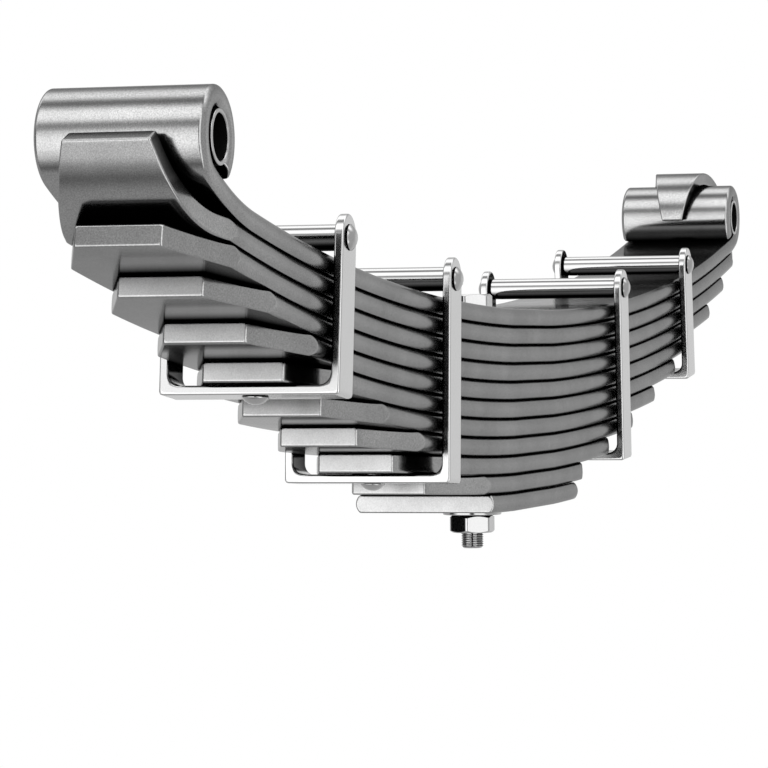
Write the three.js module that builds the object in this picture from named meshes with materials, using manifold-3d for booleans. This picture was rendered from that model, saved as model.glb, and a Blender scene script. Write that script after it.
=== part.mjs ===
// Semi-elliptic multi-leaf spring with rolled eyes, steel eye bushes, four
// riveted rebound clips with spacer tubes, and a centre bolt.
//
// Millimetres, +Z up. X runs along the spring, Y across the leaves. The origin
// is on the centre-bolt axis, on the underside of the shortest leaf, where the
// spring sits on its axle seat. The -X half of the spring is the shorter one.
import * as THREE from "three";
import { mergeVertices } from "three/addons/utils/BufferGeometryUtils.js";
import Module from "manifold-3d";

// ---------------------------------------------------------------- dimensions
const LEAF_COUNT = 11;
const LEAF_W = 77.2;          // width of every leaf
const LEAF_T = 9.8;           // thickness of every leaf
const LEAF_PITCH = 10.1;      // thickness plus the working gap
const EDGE_BULGE = 2.6;       // how far the rounded edge stands out
const CURVE_C2 = 1.3434e-4;   // camber: z = C2 x^2 + C4 x^4
const CURVE_C4 = 6.57e-11;
const SEAT_HALF = 45;         // flat seat zone each side of the centre bolt
const TIP_HALF_W = 19.6;      // half width of the cut leaf tips

// half lengths [short side, long side] of leaves 3 to 11, and where the
// width cut of each starts
const LEAF_TIPS = {
  3: [583, 594], 4: [529.5, 541], 5: [470, 483], 6: [415, 427],
  7: [356, 366], 8: [296, 305], 9: [232, 240], 10: [171.5, 173], 11: [101, 97],
};
const CUT_LENGTH = { 3: 47, 4: 44, 5: 46, 6: 47, 7: 50, 8: 55, 9: 58, 10: 62 };

// eyes of the main leaf
const EYE_R = 12.6;           // inner radius of the roll
const EYE_NEAR = { x: 560.7, z: 68.8, lead: 25.3, tip: 52 };
const EYE_FAR = { x: 590.3, z: 68.5, lead: 20, tip: 47 };
const BUSH_R = 12.2;
const BUSH_BORE_R = 10.2;
const BUSH_LEN = 76.8;

// second leaf: half wrap at the short end, full wrap at the long end
const HALF_WRAP = { start: 552.2, radius: 45.7, angle: 67.6, straight: 7.3, cut: 538.5 };
const FULL_WRAP_END = 545;    // sweep angle of the full wrap, degrees
const FULL_WRAP_T = 8.8;      // thickness the wrap is drawn down to

// centre bolt, nut and washer
const BOLT_R = 6.2;
const BOLT_HOLE_R = 6.8;
const HEX_AF = 22.9;
const HEX_TURN = 30.5;        // degrees, a corner almost along the spring
const HEAD_H = 8.5;
const WASHER_R = 16.5, WASHER_T = 3.7;
const NUT_H = 9.7;
const BOLT_TAIL = 8.7;        // thread standing below the nut

// rebound clips: where each crosses the main leaf, and the leaf it is riveted to
const CLIPS = [
  { name: "clip_1", u: -388.6, leaf: 6 },
  { name: "clip_2", u: -196, leaf: 9 },
  { name: "clip_3", u: 204, leaf: 9 },
  { name: "clip_4", u: 400, leaf: 6 },
];
const STRAP_W = 22, STRAP_T = 4.5;
const STRAP_IN = 39.4;        // inner half width
const STRAP_IN_R = 6, STRAP_OUT_R = 1.6;
const PIN_HEIGHT = 9.1;       // pin axis above the main leaf
const PIN_R = 4.0, PIN_HOLE_R = 4.3;
const PIN_HEAD_R = 6.2, PIN_HEAD_H = 3.2;
const TUBE_R = 6.2, TUBE_BORE_R = 4.5;
const RIVET_R = 4.0, RIVET_HOLE_R = 4.3;
const RIVET_HEAD_R = 6.3, RIVET_HEAD_H = 3.4;
const SINK_R = 6.6, SINK_H = 3.0;
const GAP = 0.3;

const wasm = await Module();
wasm.setup();

// ------------------------------------------------------------------ helpers
const rad = (d) => (d * Math.PI) / 180;

function fromArrays(positions, indices) {
  const g = new THREE.BufferGeometry();
  g.setAttribute("position", new THREE.Float32BufferAttribute(positions, 3));
  g.setIndex(indices);
  return g;
}

function toSolid(geometry) {
  const g = geometry.clone();
  g.deleteAttribute("normal");
  g.deleteAttribute("uv");
  const m = mergeVertices(g, 1e-4);
  return new wasm.Manifold(new wasm.Mesh({
    numProp: 3,
    vertProperties: new Float32Array(m.attributes.position.array),
    triVerts: new Uint32Array(m.index.array),
  }));
}

function toGeometry(solid) {
  const m = solid.getMesh();
  return fromArrays(Array.from(m.vertProperties), Array.from(m.triVerts));
}

function cut(geometry, ...tools) {
  let s = toSolid(geometry);
  for (const t of tools) s = s.subtract(toSolid(t));
  return toGeometry(s);
}

function fuse(...parts) {
  let s = toSolid(parts[0]);
  for (const t of parts.slice(1)) s = s.add(toSolid(t));
  return toGeometry(s);
}

// ------------------------------------------------- camber line and leaf paths
const camber = (x) => {
  const a = Math.max(Math.abs(x), SEAT_HALF);
  return CURVE_C2 * a * a + CURVE_C4 * a ** 4;
};
const camberSlope = (x) => {
  const a = Math.abs(x);
  if (a < SEAT_HALF) return 0;
  return Math.sign(x) * (2 * CURVE_C2 * a + 4 * CURVE_C4 * a ** 3);
};
const Z_TOP = (LEAF_COUNT - 1) * LEAF_PITCH + LEAF_T - camber(0); // top of the main leaf
const Z_SHIFT = (LEAF_COUNT - 1) * LEAF_PITCH + LEAF_T;           // eye heights are given from there

// a station: a point on the main leaf's top line, its unit normal, and the
// length along the path
function onCamber(x) {
  const s = camberSlope(x), q = Math.hypot(1, s);
  return { x, z: Z_TOP + camber(x), nx: -s / q, nz: 1 / q };
}

// The rise from the camber into the eye, then round the eye. Built on the +X
// side and mirrored for the other end. Returns stations from the camber out.
function eyePath(eye, steps) {
  const d = rad(eye.lead), ez = Z_SHIFT + eye.z;
  const tx = eye.x + EYE_R * Math.sin(d), tz = ez - EYE_R * Math.cos(d);
  let lo = 380, hi = eye.x;
  for (let i = 0; i < 60; i++) {
    const m = (lo + hi) / 2;
    const z = Z_TOP + camber(m) + ((camberSlope(m) + Math.tan(d)) / 2) * (tx - m);
    if (z > tz) lo = m; else hi = m;
  }
  const x0 = (lo + hi) / 2, s0 = camberSlope(x0), s1 = Math.tan(d);
  const out = [];
  const n = 4;
  for (let i = 1; i <= n; i++) {
    const x = x0 + ((tx - x0) * i) / n;
    const f = (x - x0) / (tx - x0);
    const s = s0 + (s1 - s0) * f;
    const q = Math.hypot(1, s);
    out.push({ x, z: Z_TOP + camber(x0) + s0 * (x - x0) + ((s1 - s0) * f * (x - x0)) / 2, nx: -s / q, nz: 1 / q });
  }
  const a0 = rad(270 + eye.lead), a1 = rad(540 + eye.tip);
  for (let i = 1; i <= steps; i++) {
    const a = a0 + ((a1 - a0) * i) / steps;
    out.push({ x: eye.x + EYE_R * Math.cos(a), z: ez + EYE_R * Math.sin(a), nx: -Math.cos(a), nz: -Math.sin(a), a });
  }
  return { start: x0, stations: out };
}

const mirror = (list) => list.map((p) => ({ ...p, x: -p.x, nx: -p.nx }));

// Half a leaf section: rounded edge from the top face to the bottom face,
// as [distance in from the edge, depth below the top]
const EDGE = [[EDGE_BULGE, 0], [0, 0.5], [EDGE_BULGE, 1]];

// Sweep a leaf along stations. Each station may carry its own edge inset and
// thickness; depth is the offset below the main leaf's top line.
function sweepLeaf(stations, depth) {
  const pos = [], idx = [];
  const rings = stations.map((p) => {
    const hw = LEAF_W / 2, t = p.t ?? LEAF_T, inset = p.inset ?? 0;
    const ring = [];
    for (const side of [1, -1]) {
      const e = side > 0 ? EDGE : [...EDGE].reverse();
      for (const [dy, dn] of e) {
        const y = side * Math.min(hw - dy, hw - inset);
        const n = depth + dn * t;
        ring.push([p.x - p.nx * n, y, p.z - p.nz * n]);
      }
    }
    return ring;
  });
  const m = rings[0].length;
  rings.forEach((r) => r.forEach((v) => pos.push(...v)));
  for (let j = 0; j + 1 < rings.length; j++)
    for (let i = 0; i < m; i++) {
      const a = j * m + i, b = j * m + ((i + 1) % m), c = a + m, d = b + m;
      idx.push(a, c, b, b, c, d);
    }
  for (const [j, flip] of [[0, false], [rings.length - 1, true]]) {
    const c = [0, 0, 0];
    rings[j].forEach((v) => v.forEach((q, k) => (c[k] += q / m)));
    const ci = pos.length / 3;
    pos.push(...c);
    for (let i = 0; i < m; i++) {
      const a = j * m + i, b = j * m + ((i + 1) % m);
      if (flip) idx.push(ci, b, a); else idx.push(ci, a, b);
    }
  }
  return outward(fromArrays(pos, idx));
}

// turn a closed mesh the right way out
function outward(g) {
  const p = g.attributes.position, ix = g.index.array;
  let v = 0;
  const a = new THREE.Vector3(), b = new THREE.Vector3(), c = new THREE.Vector3();
  for (let i = 0; i < ix.length; i += 3) {
    a.fromBufferAttribute(p, ix[i]); b.fromBufferAttribute(p, ix[i + 1]); c.fromBufferAttribute(p, ix[i + 2]);
    v += a.dot(b.cross(c));
  }
  if (v < 0) for (let i = 0; i < ix.length; i += 3) [ix[i + 1], ix[i + 2]] = [ix[i + 2], ix[i + 1]];
  return g;
}

// camber stations between two x values, shared by all leaves
const GRID = [45, 95, 145, 195, 245, 295, 345, 395, 445, 490, 530, 565];
function camberStations(x0, x1, extra = []) {
  const xs = new Set([x0, x1, ...extra]);
  for (const g of GRID) for (const x of [g, -g]) if (x > x0 + 6 && x < x1 - 6) xs.add(x);
  return [...xs].sort((a, b) => a - b).map(onCamber);
}

// edge inset of a straight width cut that starts at x = from and reaches the
// full inset at x = to
const insetAt = (x, from, to, full) => {
  const f = (Math.abs(x) - from) / (to - from);
  return Math.max(0, Math.min(1, f)) * full;
};

// ------------------------------------------------------------------- leaves
// the depth offset moves a tip inward along the normal, so the half length on
// the main leaf's top line is found for each leaf's own tip
function topLineX(x, depth) {
  let u = Math.abs(x);
  for (let i = 0; i < 20; i++) {
    const p = onCamber(u);
    u += Math.abs(x) - (p.x - p.nx * depth);
  }
  return u;
}

function plainLeaf(k) {
  const depth = (k - 1) * LEAF_PITCH, mid = depth + LEAF_T / 2;
  const [a, b] = LEAF_TIPS[k].map((x) => topLineX(x, mid));
  const c = CUT_LENGTH[k];
  if (!c) return sweepLeaf(camberStations(-a, b), depth);
  const extra = [];
  for (const [tip, sign] of [[a, -1], [b, 1]])
    for (const d of [0, 0.05, 0.14]) extra.push(sign * (tip - c + d * c));
  const full = LEAF_W / 2 - TIP_HALF_W;
  const st = camberStations(-a, b, extra).map((p) => ({
    ...p,
    inset: p.x < 0 ? insetAt(p.x, a - c, a, full) : insetAt(p.x, b - c, b, full),
  }));
  return sweepLeaf(st, depth);
}

const nearEye = eyePath(EYE_NEAR, 20), farEye = eyePath(EYE_FAR, 20);

function mainLeaf() {
  const mid = camberStations(-nearEye.start, farEye.start);
  return sweepLeaf([...mirror(nearEye.stations).reverse(), ...mid, ...farEye.stations], 0);
}

function wrapperLeaf() {
  const depth = LEAF_PITCH;
  // short end: half wrap, an open curve outside the eye
  const h = HALF_WRAP, near = [];
  const u0 = topLineX(h.start, depth), p0 = onCamber(u0);
  const a0 = Math.atan(camberSlope(u0)), a1 = rad(h.angle);
  const sx = p0.x - p0.nx * depth, sz = p0.z - p0.nz * depth; // on leaf 2's top face
  const cx = sx - h.radius * Math.sin(a0), cz = sz + h.radius * Math.cos(a0);
  const n = 8;
  for (let i = 1; i <= n; i++) {
    const a = a0 + ((a1 - a0) * i) / n;
    near.push({ tx: cx + h.radius * Math.sin(a), tz: cz - h.radius * Math.cos(a), a });
  }
  const e = near[n - 1];
  near.push({ tx: e.tx + h.straight * Math.cos(a1), tz: e.tz + h.straight * Math.sin(a1), a: a1 });
  const nearSt = near.map((q) => {
    const nx = -Math.sin(q.a), nz = Math.cos(q.a);
    return { x: q.tx + nx * depth, z: q.tz + nz * depth, nx, nz };
  });
  // long end: offset of the main leaf's own path, carried right over the eye
  const far = [];
  for (const p of farEye.stations) {
    if (p.a === undefined) far.push({ ...p });
  }
  const w0 = rad(270 + EYE_FAR.lead), w1 = rad(FULL_WRAP_END), m = 20;
  for (let i = 1; i <= m; i++) {
    const a = w0 + ((w1 - w0) * i) / m;
    far.push({ x: EYE_FAR.x + EYE_R * Math.cos(a), z: Z_SHIFT + EYE_FAR.z + EYE_R * Math.sin(a), nx: -Math.cos(a), nz: -Math.sin(a), a });
  }
  const cutNear = topLineX(h.cut, depth);
  const mid = camberStations(-u0, farEye.start, [-(cutNear + 3), -cutNear].filter((x) => -x < u0));
  const st = [...mirror(nearSt).reverse(), ...mid, ...far];
  // width cuts, by length along the leaf
  const at = st.map((p) => [p.x - p.nx * (depth + LEAF_T / 2), p.z - p.nz * (depth + LEAF_T / 2)]);
  const s = [0];
  for (let i = 1; i < st.length; i++) s.push(s[i - 1] + Math.hypot(at[i][0] - at[i - 1][0], at[i][1] - at[i - 1][1]));
  const iCut = st.findIndex((p) => p.x >= -cutNear - 0.01);
  st.forEach((p, i) => {
    if (i < iCut) p.inset = ((LEAF_W / 2 - TIP_HALF_W) * (s[iCut] - s[i])) / s[iCut];
  });
  // long end: the cut starts under the eye and runs round to a narrow tongue
  st.forEach((p, i) => {
    if (p.a !== undefined && p.x > 0) {
      const g = (THREE.MathUtils.radToDeg(p.a) - 290) / (540 - 290);
      p.inset = 4 + 27 * Math.max(0, g) ** 1.05;
      p.t = THREE.MathUtils.lerp(LEAF_T, FULL_WRAP_T, Math.min(1, Math.max(0, g) * 2));
    } else if (p.x > farEye.start + 1) {
      p.inset = 4 * Math.min(1, (p.x - farEye.start) / (EYE_FAR.x - farEye.start));
    }
  });
  return sweepLeaf(st, depth);
}

// a drill along a station's normal, from one depth to another
function drill(u, r0, r1, d0, d1, segs = 12) {
  const p = onCamber(u);
  const g = new THREE.CylinderGeometry(r0, r1, d1 - d0, segs); // r0 at the top
  g.translate(0, -(d0 + d1) / 2, 0);
  g.rotateX(Math.PI / 2);
  g.rotateY(Math.atan2(p.nx, p.nz));
  g.translate(p.x, 0, p.z);
  return g;
}

function leafWithHoles(geometry, k) {
  const depth = (k - 1) * LEAF_PITCH;
  const tools = [drill(0, BOLT_HOLE_R, BOLT_HOLE_R, depth - 3, depth + LEAF_T + 3, 16)];
  for (const c of CLIPS)
    if (c.leaf === k) {
      tools.push(drill(c.u, RIVET_HOLE_R, RIVET_HOLE_R, depth - 2, depth + LEAF_T + 2));
      tools.push(drill(c.u, SINK_R + GAP + 0.35, RIVET_HOLE_R, depth - 0.35, depth + SINK_H + 0.2));
    }
  return cut(geometry, ...tools);
}

// -------------------------------------------------------------------- clips
// Clip pieces are made upright about their own strap centre line (x across
// the strap, y across the spring, z along the main leaf's normal, z = 0 at the
// main leaf's top), then placed on the camber.
function onClip(g, c) {
  const p = onCamber(c.u);
  g.rotateY(Math.atan2(p.nx, p.nz));
  g.translate(p.x, 0, p.z);
  return g;
}

function strap(c) {
  const bottom = -(c.leaf * LEAF_PITCH) ; // upper face of the strap's base
  const zi = bottom, zo = bottom - STRAP_T, yi = STRAP_IN, yo = STRAP_IN + STRAP_T;
  const top = PIN_HEIGHT;
  const s = new THREE.Shape();
  s.moveTo(-yo, top);
  s.lineTo(-yo, zo + STRAP_OUT_R);
  s.lineTo(-yo + STRAP_OUT_R * 0.3, zo + STRAP_OUT_R * 0.3);
  s.lineTo(-yo + STRAP_OUT_R, zo);
  s.lineTo(yo - STRAP_OUT_R, zo);
  s.lineTo(yo - STRAP_OUT_R * 0.3, zo + STRAP_OUT_R * 0.3);
  s.lineTo(yo, zo + STRAP_OUT_R);
  s.lineTo(yo, top);
  s.lineTo(yi, top);
  s.lineTo(yi, zi + STRAP_IN_R);
  s.lineTo(yi - STRAP_IN_R * 0.12, zi + STRAP_IN_R * 0.5);
  s.lineTo(yi - STRAP_IN_R * 0.5, zi + STRAP_IN_R * 0.12);
  s.lineTo(yi - STRAP_IN_R, zi);
  s.lineTo(-yi + STRAP_IN_R, zi);
  s.lineTo(-yi + STRAP_IN_R * 0.5, zi + STRAP_IN_R * 0.12);
  s.lineTo(-yi + STRAP_IN_R * 0.12, zi + STRAP_IN_R * 0.5);
  s.lineTo(-yi, zi + STRAP_IN_R);
  s.lineTo(-yi, top);
  s.closePath();
  const u = new THREE.ExtrudeGeometry(s, { depth: STRAP_W, bevelEnabled: false });
  // shape x -> y, shape y -> z, extrusion -> x
  u.applyMatrix4(new THREE.Matrix4().set(0, 0, 1, -STRAP_W / 2, 1, 0, 0, 0, 0, 1, 0, 0, 0, 0, 0, 1));
  let solid = toSolid(outward(mergeVertices(strip(u), 1e-4)));
  for (const side of [1, -1]) {
    // rounded ear top and the pin hole
    const ear = new THREE.CylinderGeometry(STRAP_W / 2, STRAP_W / 2, STRAP_T, 24);
    ear.translate(0, side * (STRAP_IN + STRAP_T / 2), top);
    solid = solid.add(toSolid(ear));
    const hole = new THREE.CylinderGeometry(PIN_HOLE_R, PIN_HOLE_R, STRAP_T + 4, 14);
    hole.translate(0, side * (STRAP_IN + STRAP_T / 2), top);
    solid = solid.subtract(toSolid(hole));
  }
  const rivetHole = new THREE.CylinderGeometry(RIVET_HOLE_R, RIVET_HOLE_R, STRAP_T + 4, 12);
  rivetHole.rotateX(Math.PI / 2);
  rivetHole.translate(0, 0, bottom - STRAP_T / 2);
  solid = solid.subtract(toSolid(rivetHole));
  return onClip(toGeometry(solid), c);
}

function strip(g) {
  const h = g.clone();
  h.deleteAttribute("normal");
  h.deleteAttribute("uv");
  return h;
}

// lathe along +Y from [radius, y] points that start and end on the axis
function turned(points, segs) {
  const g = new THREE.LatheGeometry(points.map(([r, y]) => new THREE.Vector2(r, y)), segs);
  const m = toSolid(outward(mergeVertices(strip(g), 1e-3)));
  return toGeometry(m);
}

function clipPin(c) {
  const h = STRAP_IN + STRAP_T + GAP; // underside of the heads
  const dome = (s) => [
    [PIN_HEAD_R, s * h], [PIN_HEAD_R * 0.93, s * (h + PIN_HEAD_H * 0.45)],
    [PIN_HEAD_R * 0.6, s * (h + PIN_HEAD_H * 0.85)], [0, s * (h + PIN_HEAD_H)],
  ];
  const pts = [...dome(-1).reverse(), [PIN_R, -h], [PIN_R, h], ...dome(1)];
  const g = turned(pts, 14);
  g.translate(0, 0, PIN_HEIGHT);
  return onClip(g, c);
}

function spacerTube(c) {
  const h = STRAP_IN - GAP;
  const g = turned2([[TUBE_BORE_R, -h], [TUBE_R, -h], [TUBE_R, h], [TUBE_BORE_R, h]], 18);
  g.translate(0, 0, PIN_HEIGHT);
  return onClip(g, c);
}

// lathe of a closed profile that doesn't touch the axis
function turned2(points, segs) {
  const v = points.map(([r, y]) => new THREE.Vector2(r, y));
  const g = new THREE.LatheGeometry([...v, v[0].clone()], segs);
  return toGeometry(toSolid(outward(mergeVertices(strip(g), 1e-3))));
}

function leafRivet(c) {
  const k = c.leaf, topZ = -(k - 1) * LEAF_PITCH - 0.05; // just under the leaf's top face
  const under = -(k * LEAF_PITCH) - STRAP_T - GAP;
  const pts = [
    [0, under - RIVET_HEAD_H],
    [RIVET_HEAD_R * 0.6, under - RIVET_HEAD_H * 0.85],
    [RIVET_HEAD_R * 0.93, under - RIVET_HEAD_H * 0.45],
    [RIVET_HEAD_R, under],
    [RIVET_R, under],
    [RIVET_R, topZ - SINK_H],
    [SINK_R, topZ],
    [0, topZ],
  ];
  const g = turned(pts, 14);
  g.rotateX(Math.PI / 2);
  return onClip(g, c);
}

// -------------------------------------------------------- bushes and fasteners
function bush(eye, sign) {
  const h = BUSH_LEN / 2;
  const g = turned2([[BUSH_BORE_R, -h], [BUSH_R, -h], [BUSH_R, h], [BUSH_BORE_R, h]], 24);
  g.translate(sign * eye.x, 0, Z_SHIFT + eye.z);
  return g;
}

function hexPrism(af, h, z0) {
  const full = turnedHex(af, h);
  full.rotateZ(rad(HEX_TURN));
  full.translate(0, 0, z0);
  return full;
}

// hexagonal prism with its corners turned off by a cone at both faces
function turnedHex(af, h) {
  const r = af / Math.sqrt(3);
  const prism = new THREE.CylinderGeometry(r, r, h, 6);
  prism.rotateX(Math.PI / 2);
  prism.translate(0, 0, h / 2);
  const c = 1.5;
  const cone = new THREE.LatheGeometry([
    new THREE.Vector2(0, 0), new THREE.Vector2(af / 2 * 0.97, 0), new THREE.Vector2(r + 0.3, c),
    new THREE.Vector2(r + 0.3, h - c), new THREE.Vector2(af / 2 * 0.97, h), new THREE.Vector2(0, h),
  ], 24);
  const g = toGeometry(toSolid(outward(mergeVertices(strip(cone), 1e-3))));
  g.rotateX(Math.PI / 2);
  const box = new THREE.Box3().setFromBufferAttribute(g.attributes.position);
  g.translate(0, 0, -box.min.z);
  return toGeometry(toSolid(prism).intersect(toSolid(g)));
}

const NUT_TOP = -(GAP + WASHER_T + GAP);

function centreBolt() {
  const top = Z_SHIFT + GAP, end = NUT_TOP - NUT_H - BOLT_TAIL;
  const head = hexPrism(HEX_AF, HEAD_H, top);
  const shank = turned([[0, end], [BOLT_R - 1.3, end], [BOLT_R, end + 1.4], [BOLT_R, top + 1], [0, top + 1]], 18);
  shank.rotateX(Math.PI / 2);
  return fuse(head, shank);
}

function centreNut() {
  const body = hexPrism(HEX_AF, NUT_H, NUT_TOP - NUT_H);
  const bore = new THREE.CylinderGeometry(BOLT_R + GAP, BOLT_R + GAP, NUT_H * 3, 18);
  bore.rotateX(Math.PI / 2);
  bore.translate(0, 0, NUT_TOP);
  return cut(body, bore);
}

function centreWasher() {
  const z0 = -GAP - WASHER_T, z1 = -GAP;
  const g = turned2([[BOLT_R + GAP, z0], [WASHER_R - 0.8, z0], [WASHER_R, z0 + 0.8], [WASHER_R, z1], [BOLT_R + GAP, z1]], 28);
  g.rotateX(Math.PI / 2);
  return g;
}

// ----------------------------------------------------------------- materials
const steel = (color, roughness, metalness) => new THREE.MeshStandardMaterial({ color, roughness, metalness });
const LEAF_MAT = steel(0x8c8c8c, 0.5, 0.8);
const BUSH_MAT = steel(0xa0a0a0, 0.4, 0.9);
const CLIP_MAT = steel(0xd4d6d8, 0.22, 1.0);
const TUBE_MAT = steel(0xdddddd, 0.15, 1.0);
const BOLT_MAT = steel(0xcfd1d3, 0.25, 1.0);

const spring = new THREE.Group();
spring.name = "leaf_spring";
function addPiece(name, geometry, material) {
  const g = geometry;
  g.computeVertexNormals();
  const m = new THREE.Mesh(g, material);
  m.name = name;
  spring.add(m);
}

addPiece("main_leaf", leafWithHoles(mainLeaf(), 1), LEAF_MAT);
addPiece("wrapper_leaf", leafWithHoles(wrapperLeaf(), 2), LEAF_MAT);
for (let k = 3; k <= LEAF_COUNT; k++) addPiece(`leaf_${k}`, leafWithHoles(plainLeaf(k), k), LEAF_MAT);
addPiece("eye_bush_near", bush(EYE_NEAR, -1), BUSH_MAT);
addPiece("eye_bush_far", bush(EYE_FAR, 1), BUSH_MAT);
addPiece("centre_bolt", centreBolt(), BOLT_MAT);
addPiece("centre_nut", centreNut(), BOLT_MAT);
addPiece("centre_washer", centreWasher(), BOLT_MAT);
for (const c of CLIPS) {
  addPiece(`${c.name}_strap`, strap(c), CLIP_MAT);
  addPiece(`${c.name}_pin`, clipPin(c), BOLT_MAT);
  addPiece(`${c.name}_spacer_tube`, spacerTube(c), TUBE_MAT);
  addPiece(`${c.name}_leaf_rivet`, leafRivet(c), BOLT_MAT);
}

export default spring;
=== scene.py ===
import math

import bmesh
import bpy
import numpy as np
from mathutils import Matrix, Vector


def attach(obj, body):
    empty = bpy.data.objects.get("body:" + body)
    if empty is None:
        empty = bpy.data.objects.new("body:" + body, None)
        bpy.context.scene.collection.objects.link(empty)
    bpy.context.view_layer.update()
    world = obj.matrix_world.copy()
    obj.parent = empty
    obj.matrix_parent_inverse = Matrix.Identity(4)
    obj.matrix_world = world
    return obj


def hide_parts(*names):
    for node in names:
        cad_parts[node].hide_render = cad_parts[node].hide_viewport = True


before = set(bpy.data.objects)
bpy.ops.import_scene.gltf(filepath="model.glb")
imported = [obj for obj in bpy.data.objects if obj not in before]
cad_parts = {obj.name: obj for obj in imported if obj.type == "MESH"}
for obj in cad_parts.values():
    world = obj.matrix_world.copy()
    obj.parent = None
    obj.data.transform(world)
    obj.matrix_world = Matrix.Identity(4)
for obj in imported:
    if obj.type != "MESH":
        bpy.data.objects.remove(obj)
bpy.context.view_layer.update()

# ------------------------------------------------------------------ numbers
LEAF_COUNT = 11
LEAF_W, LEAF_T, PITCH = 77.2, 9.8, 10.1
BULGE = 2.3
EDGE_FILLET = 1.8
CUT_FILLET = 1.1
TIP_FILLET = 1.0
C2, C4, SEAT_HALF = 1.3434e-4, 6.57e-11, 45.0
TIP_HALF_W = 19.6
LEAF_TIPS = {
    3: (583, 594), 4: (529.5, 541), 5: (470, 483), 6: (415, 427),
    7: (356, 366), 8: (296, 305), 9: (232, 240), 10: (171.5, 173), 11: (101, 97),
}
CUT_LENGTH = {3: 47, 4: 44, 5: 46, 6: 47, 7: 50, 8: 55, 9: 58, 10: 62, 11: 0}
EYE_R = 12.6
EYE_NEAR = dict(x=560.7, z=68.8, lead=25.3, tip=52)
EYE_FAR = dict(x=590.3, z=68.5, lead=20.0, tip=47)
BUSH_R, BUSH_BORE_R, BUSH_LEN = 12.2, 10.2, 76.8
HALF_WRAP = dict(start=552.2, radius=45.7, angle=67.6, straight=7.3, cut=538.5)
FULL_WRAP_END, FULL_WRAP_T = 545.0, 8.8
BOLT_R, BOLT_HOLE_R, HEX_AF, HEX_TURN = 6.2, 6.8, 22.9, 30.5
HEAD_H, WASHER_R, WASHER_T, NUT_H, BOLT_TAIL = 8.5, 16.5, 3.7, 9.7, 8.7
THREAD_PITCH = 1.27
CLIPS = [("clip_1", -388.6, 6), ("clip_2", -196.0, 9), ("clip_3", 204.0, 9), ("clip_4", 400.0, 6)]
STRAP_W, STRAP_T, STRAP_IN = 22.0, 4.5, 39.4
STRAP_IN_R, STRAP_OUT_R = 6.0, 1.6
PIN_HEIGHT, PIN_R, PIN_HOLE_R, PIN_HEAD_R, PIN_HEAD_H = 9.1, 4.0, 4.3, 6.2, 3.2
TUBE_R, TUBE_BORE_R = 6.2, 4.5
RIVET_R, RIVET_HOLE_R, RIVET_HEAD_R, RIVET_HEAD_H = 4.0, 4.3, 6.3, 3.4
SINK_R, SINK_H = 6.6, 3.0
GAP = 0.3
HW = LEAF_W / 2
Z_SHIFT = (LEAF_COUNT - 1) * PITCH + LEAF_T
rad = math.radians


# ------------------------------------------------------------- camber and paths
def camber(x):
    a = max(abs(x), SEAT_HALF)
    return C2 * a * a + C4 * a ** 4


def slope(x):
    a = abs(x)
    return 0.0 if a < SEAT_HALF else math.copysign(2 * C2 * a + 4 * C4 * a ** 3, x)


Z_TOP = Z_SHIFT - camber(0)


def on_camber(x):
    s = slope(x)
    q = math.hypot(1, s)
    return dict(x=x, z=Z_TOP + camber(x), nx=-s / q, nz=1 / q)


def top_line_x(x, depth):
    u = abs(x)
    for _ in range(20):
        p = on_camber(u)
        u += abs(x) - (p["x"] - p["nx"] * depth)
    return u


def eye_path(eye, a_end, lead_steps=16, step=3.0):
    """Rise from the camber and the way round the eye, on the +X side."""
    d, ez = rad(eye["lead"]), Z_SHIFT + eye["z"]
    tx, tz = eye["x"] + EYE_R * math.sin(d), ez - EYE_R * math.cos(d)
    lo, hi = 380.0, eye["x"]
    for _ in range(60):
        m = (lo + hi) / 2
        z = Z_TOP + camber(m) + ((slope(m) + math.tan(d)) / 2) * (tx - m)
        if z > tz:
            lo = m
        else:
            hi = m
    x0 = (lo + hi) / 2
    s0, s1 = slope(x0), math.tan(d)
    out = []
    for i in range(1, lead_steps + 1):
        f = i / lead_steps
        x = x0 + (tx - x0) * f
        s = s0 + (s1 - s0) * f
        q = math.hypot(1, s)
        out.append(dict(x=x, z=Z_TOP + camber(x0) + s0 * (x - x0) + (s1 - s0) * f * (x - x0) / 2, nx=-s / q, nz=1 / q))
    a0 = 270 + eye["lead"]
    n = int((a_end - a0) / step)
    for i in range(1, n + 1):
        deg = a0 + (a_end - a0) * i / n
        a = rad(deg)
        out.append(dict(x=eye["x"] + EYE_R * math.cos(a), z=ez + EYE_R * math.sin(a), nx=-math.cos(a), nz=-math.sin(a), deg=deg))
    return x0, out


def mirrored(stations):
    return [dict(p, x=-p["x"], nx=-p["nx"]) for p in reversed(stations)]


def camber_run(x0, x1, extra=(), step=10.0):
    xs = set(round(x0 + (x1 - x0) * i / int((x1 - x0) / step), 4) for i in range(int((x1 - x0) / step) + 1))
    xs |= {round(x, 4) for x in extra if x0 <= x <= x1}
    xs = sorted(xs)
    keep = [xs[0]]
    for x in xs[1:]:
        if x - keep[-1] > 0.12:
            keep.append(x)
    if keep[-1] != xs[-1]:
        keep[-1] = xs[-1]
    return [on_camber(x) for x in keep]


def lengths(stations, depth):
    pts = [(p["x"] - p["nx"] * depth, p["z"] - p["nz"] * depth) for p in stations]
    s = [0.0]
    for a, b in zip(pts, pts[1:]):
        s.append(s[-1] + math.hypot(b[0] - a[0], b[1] - a[1]))
    return s


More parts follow.
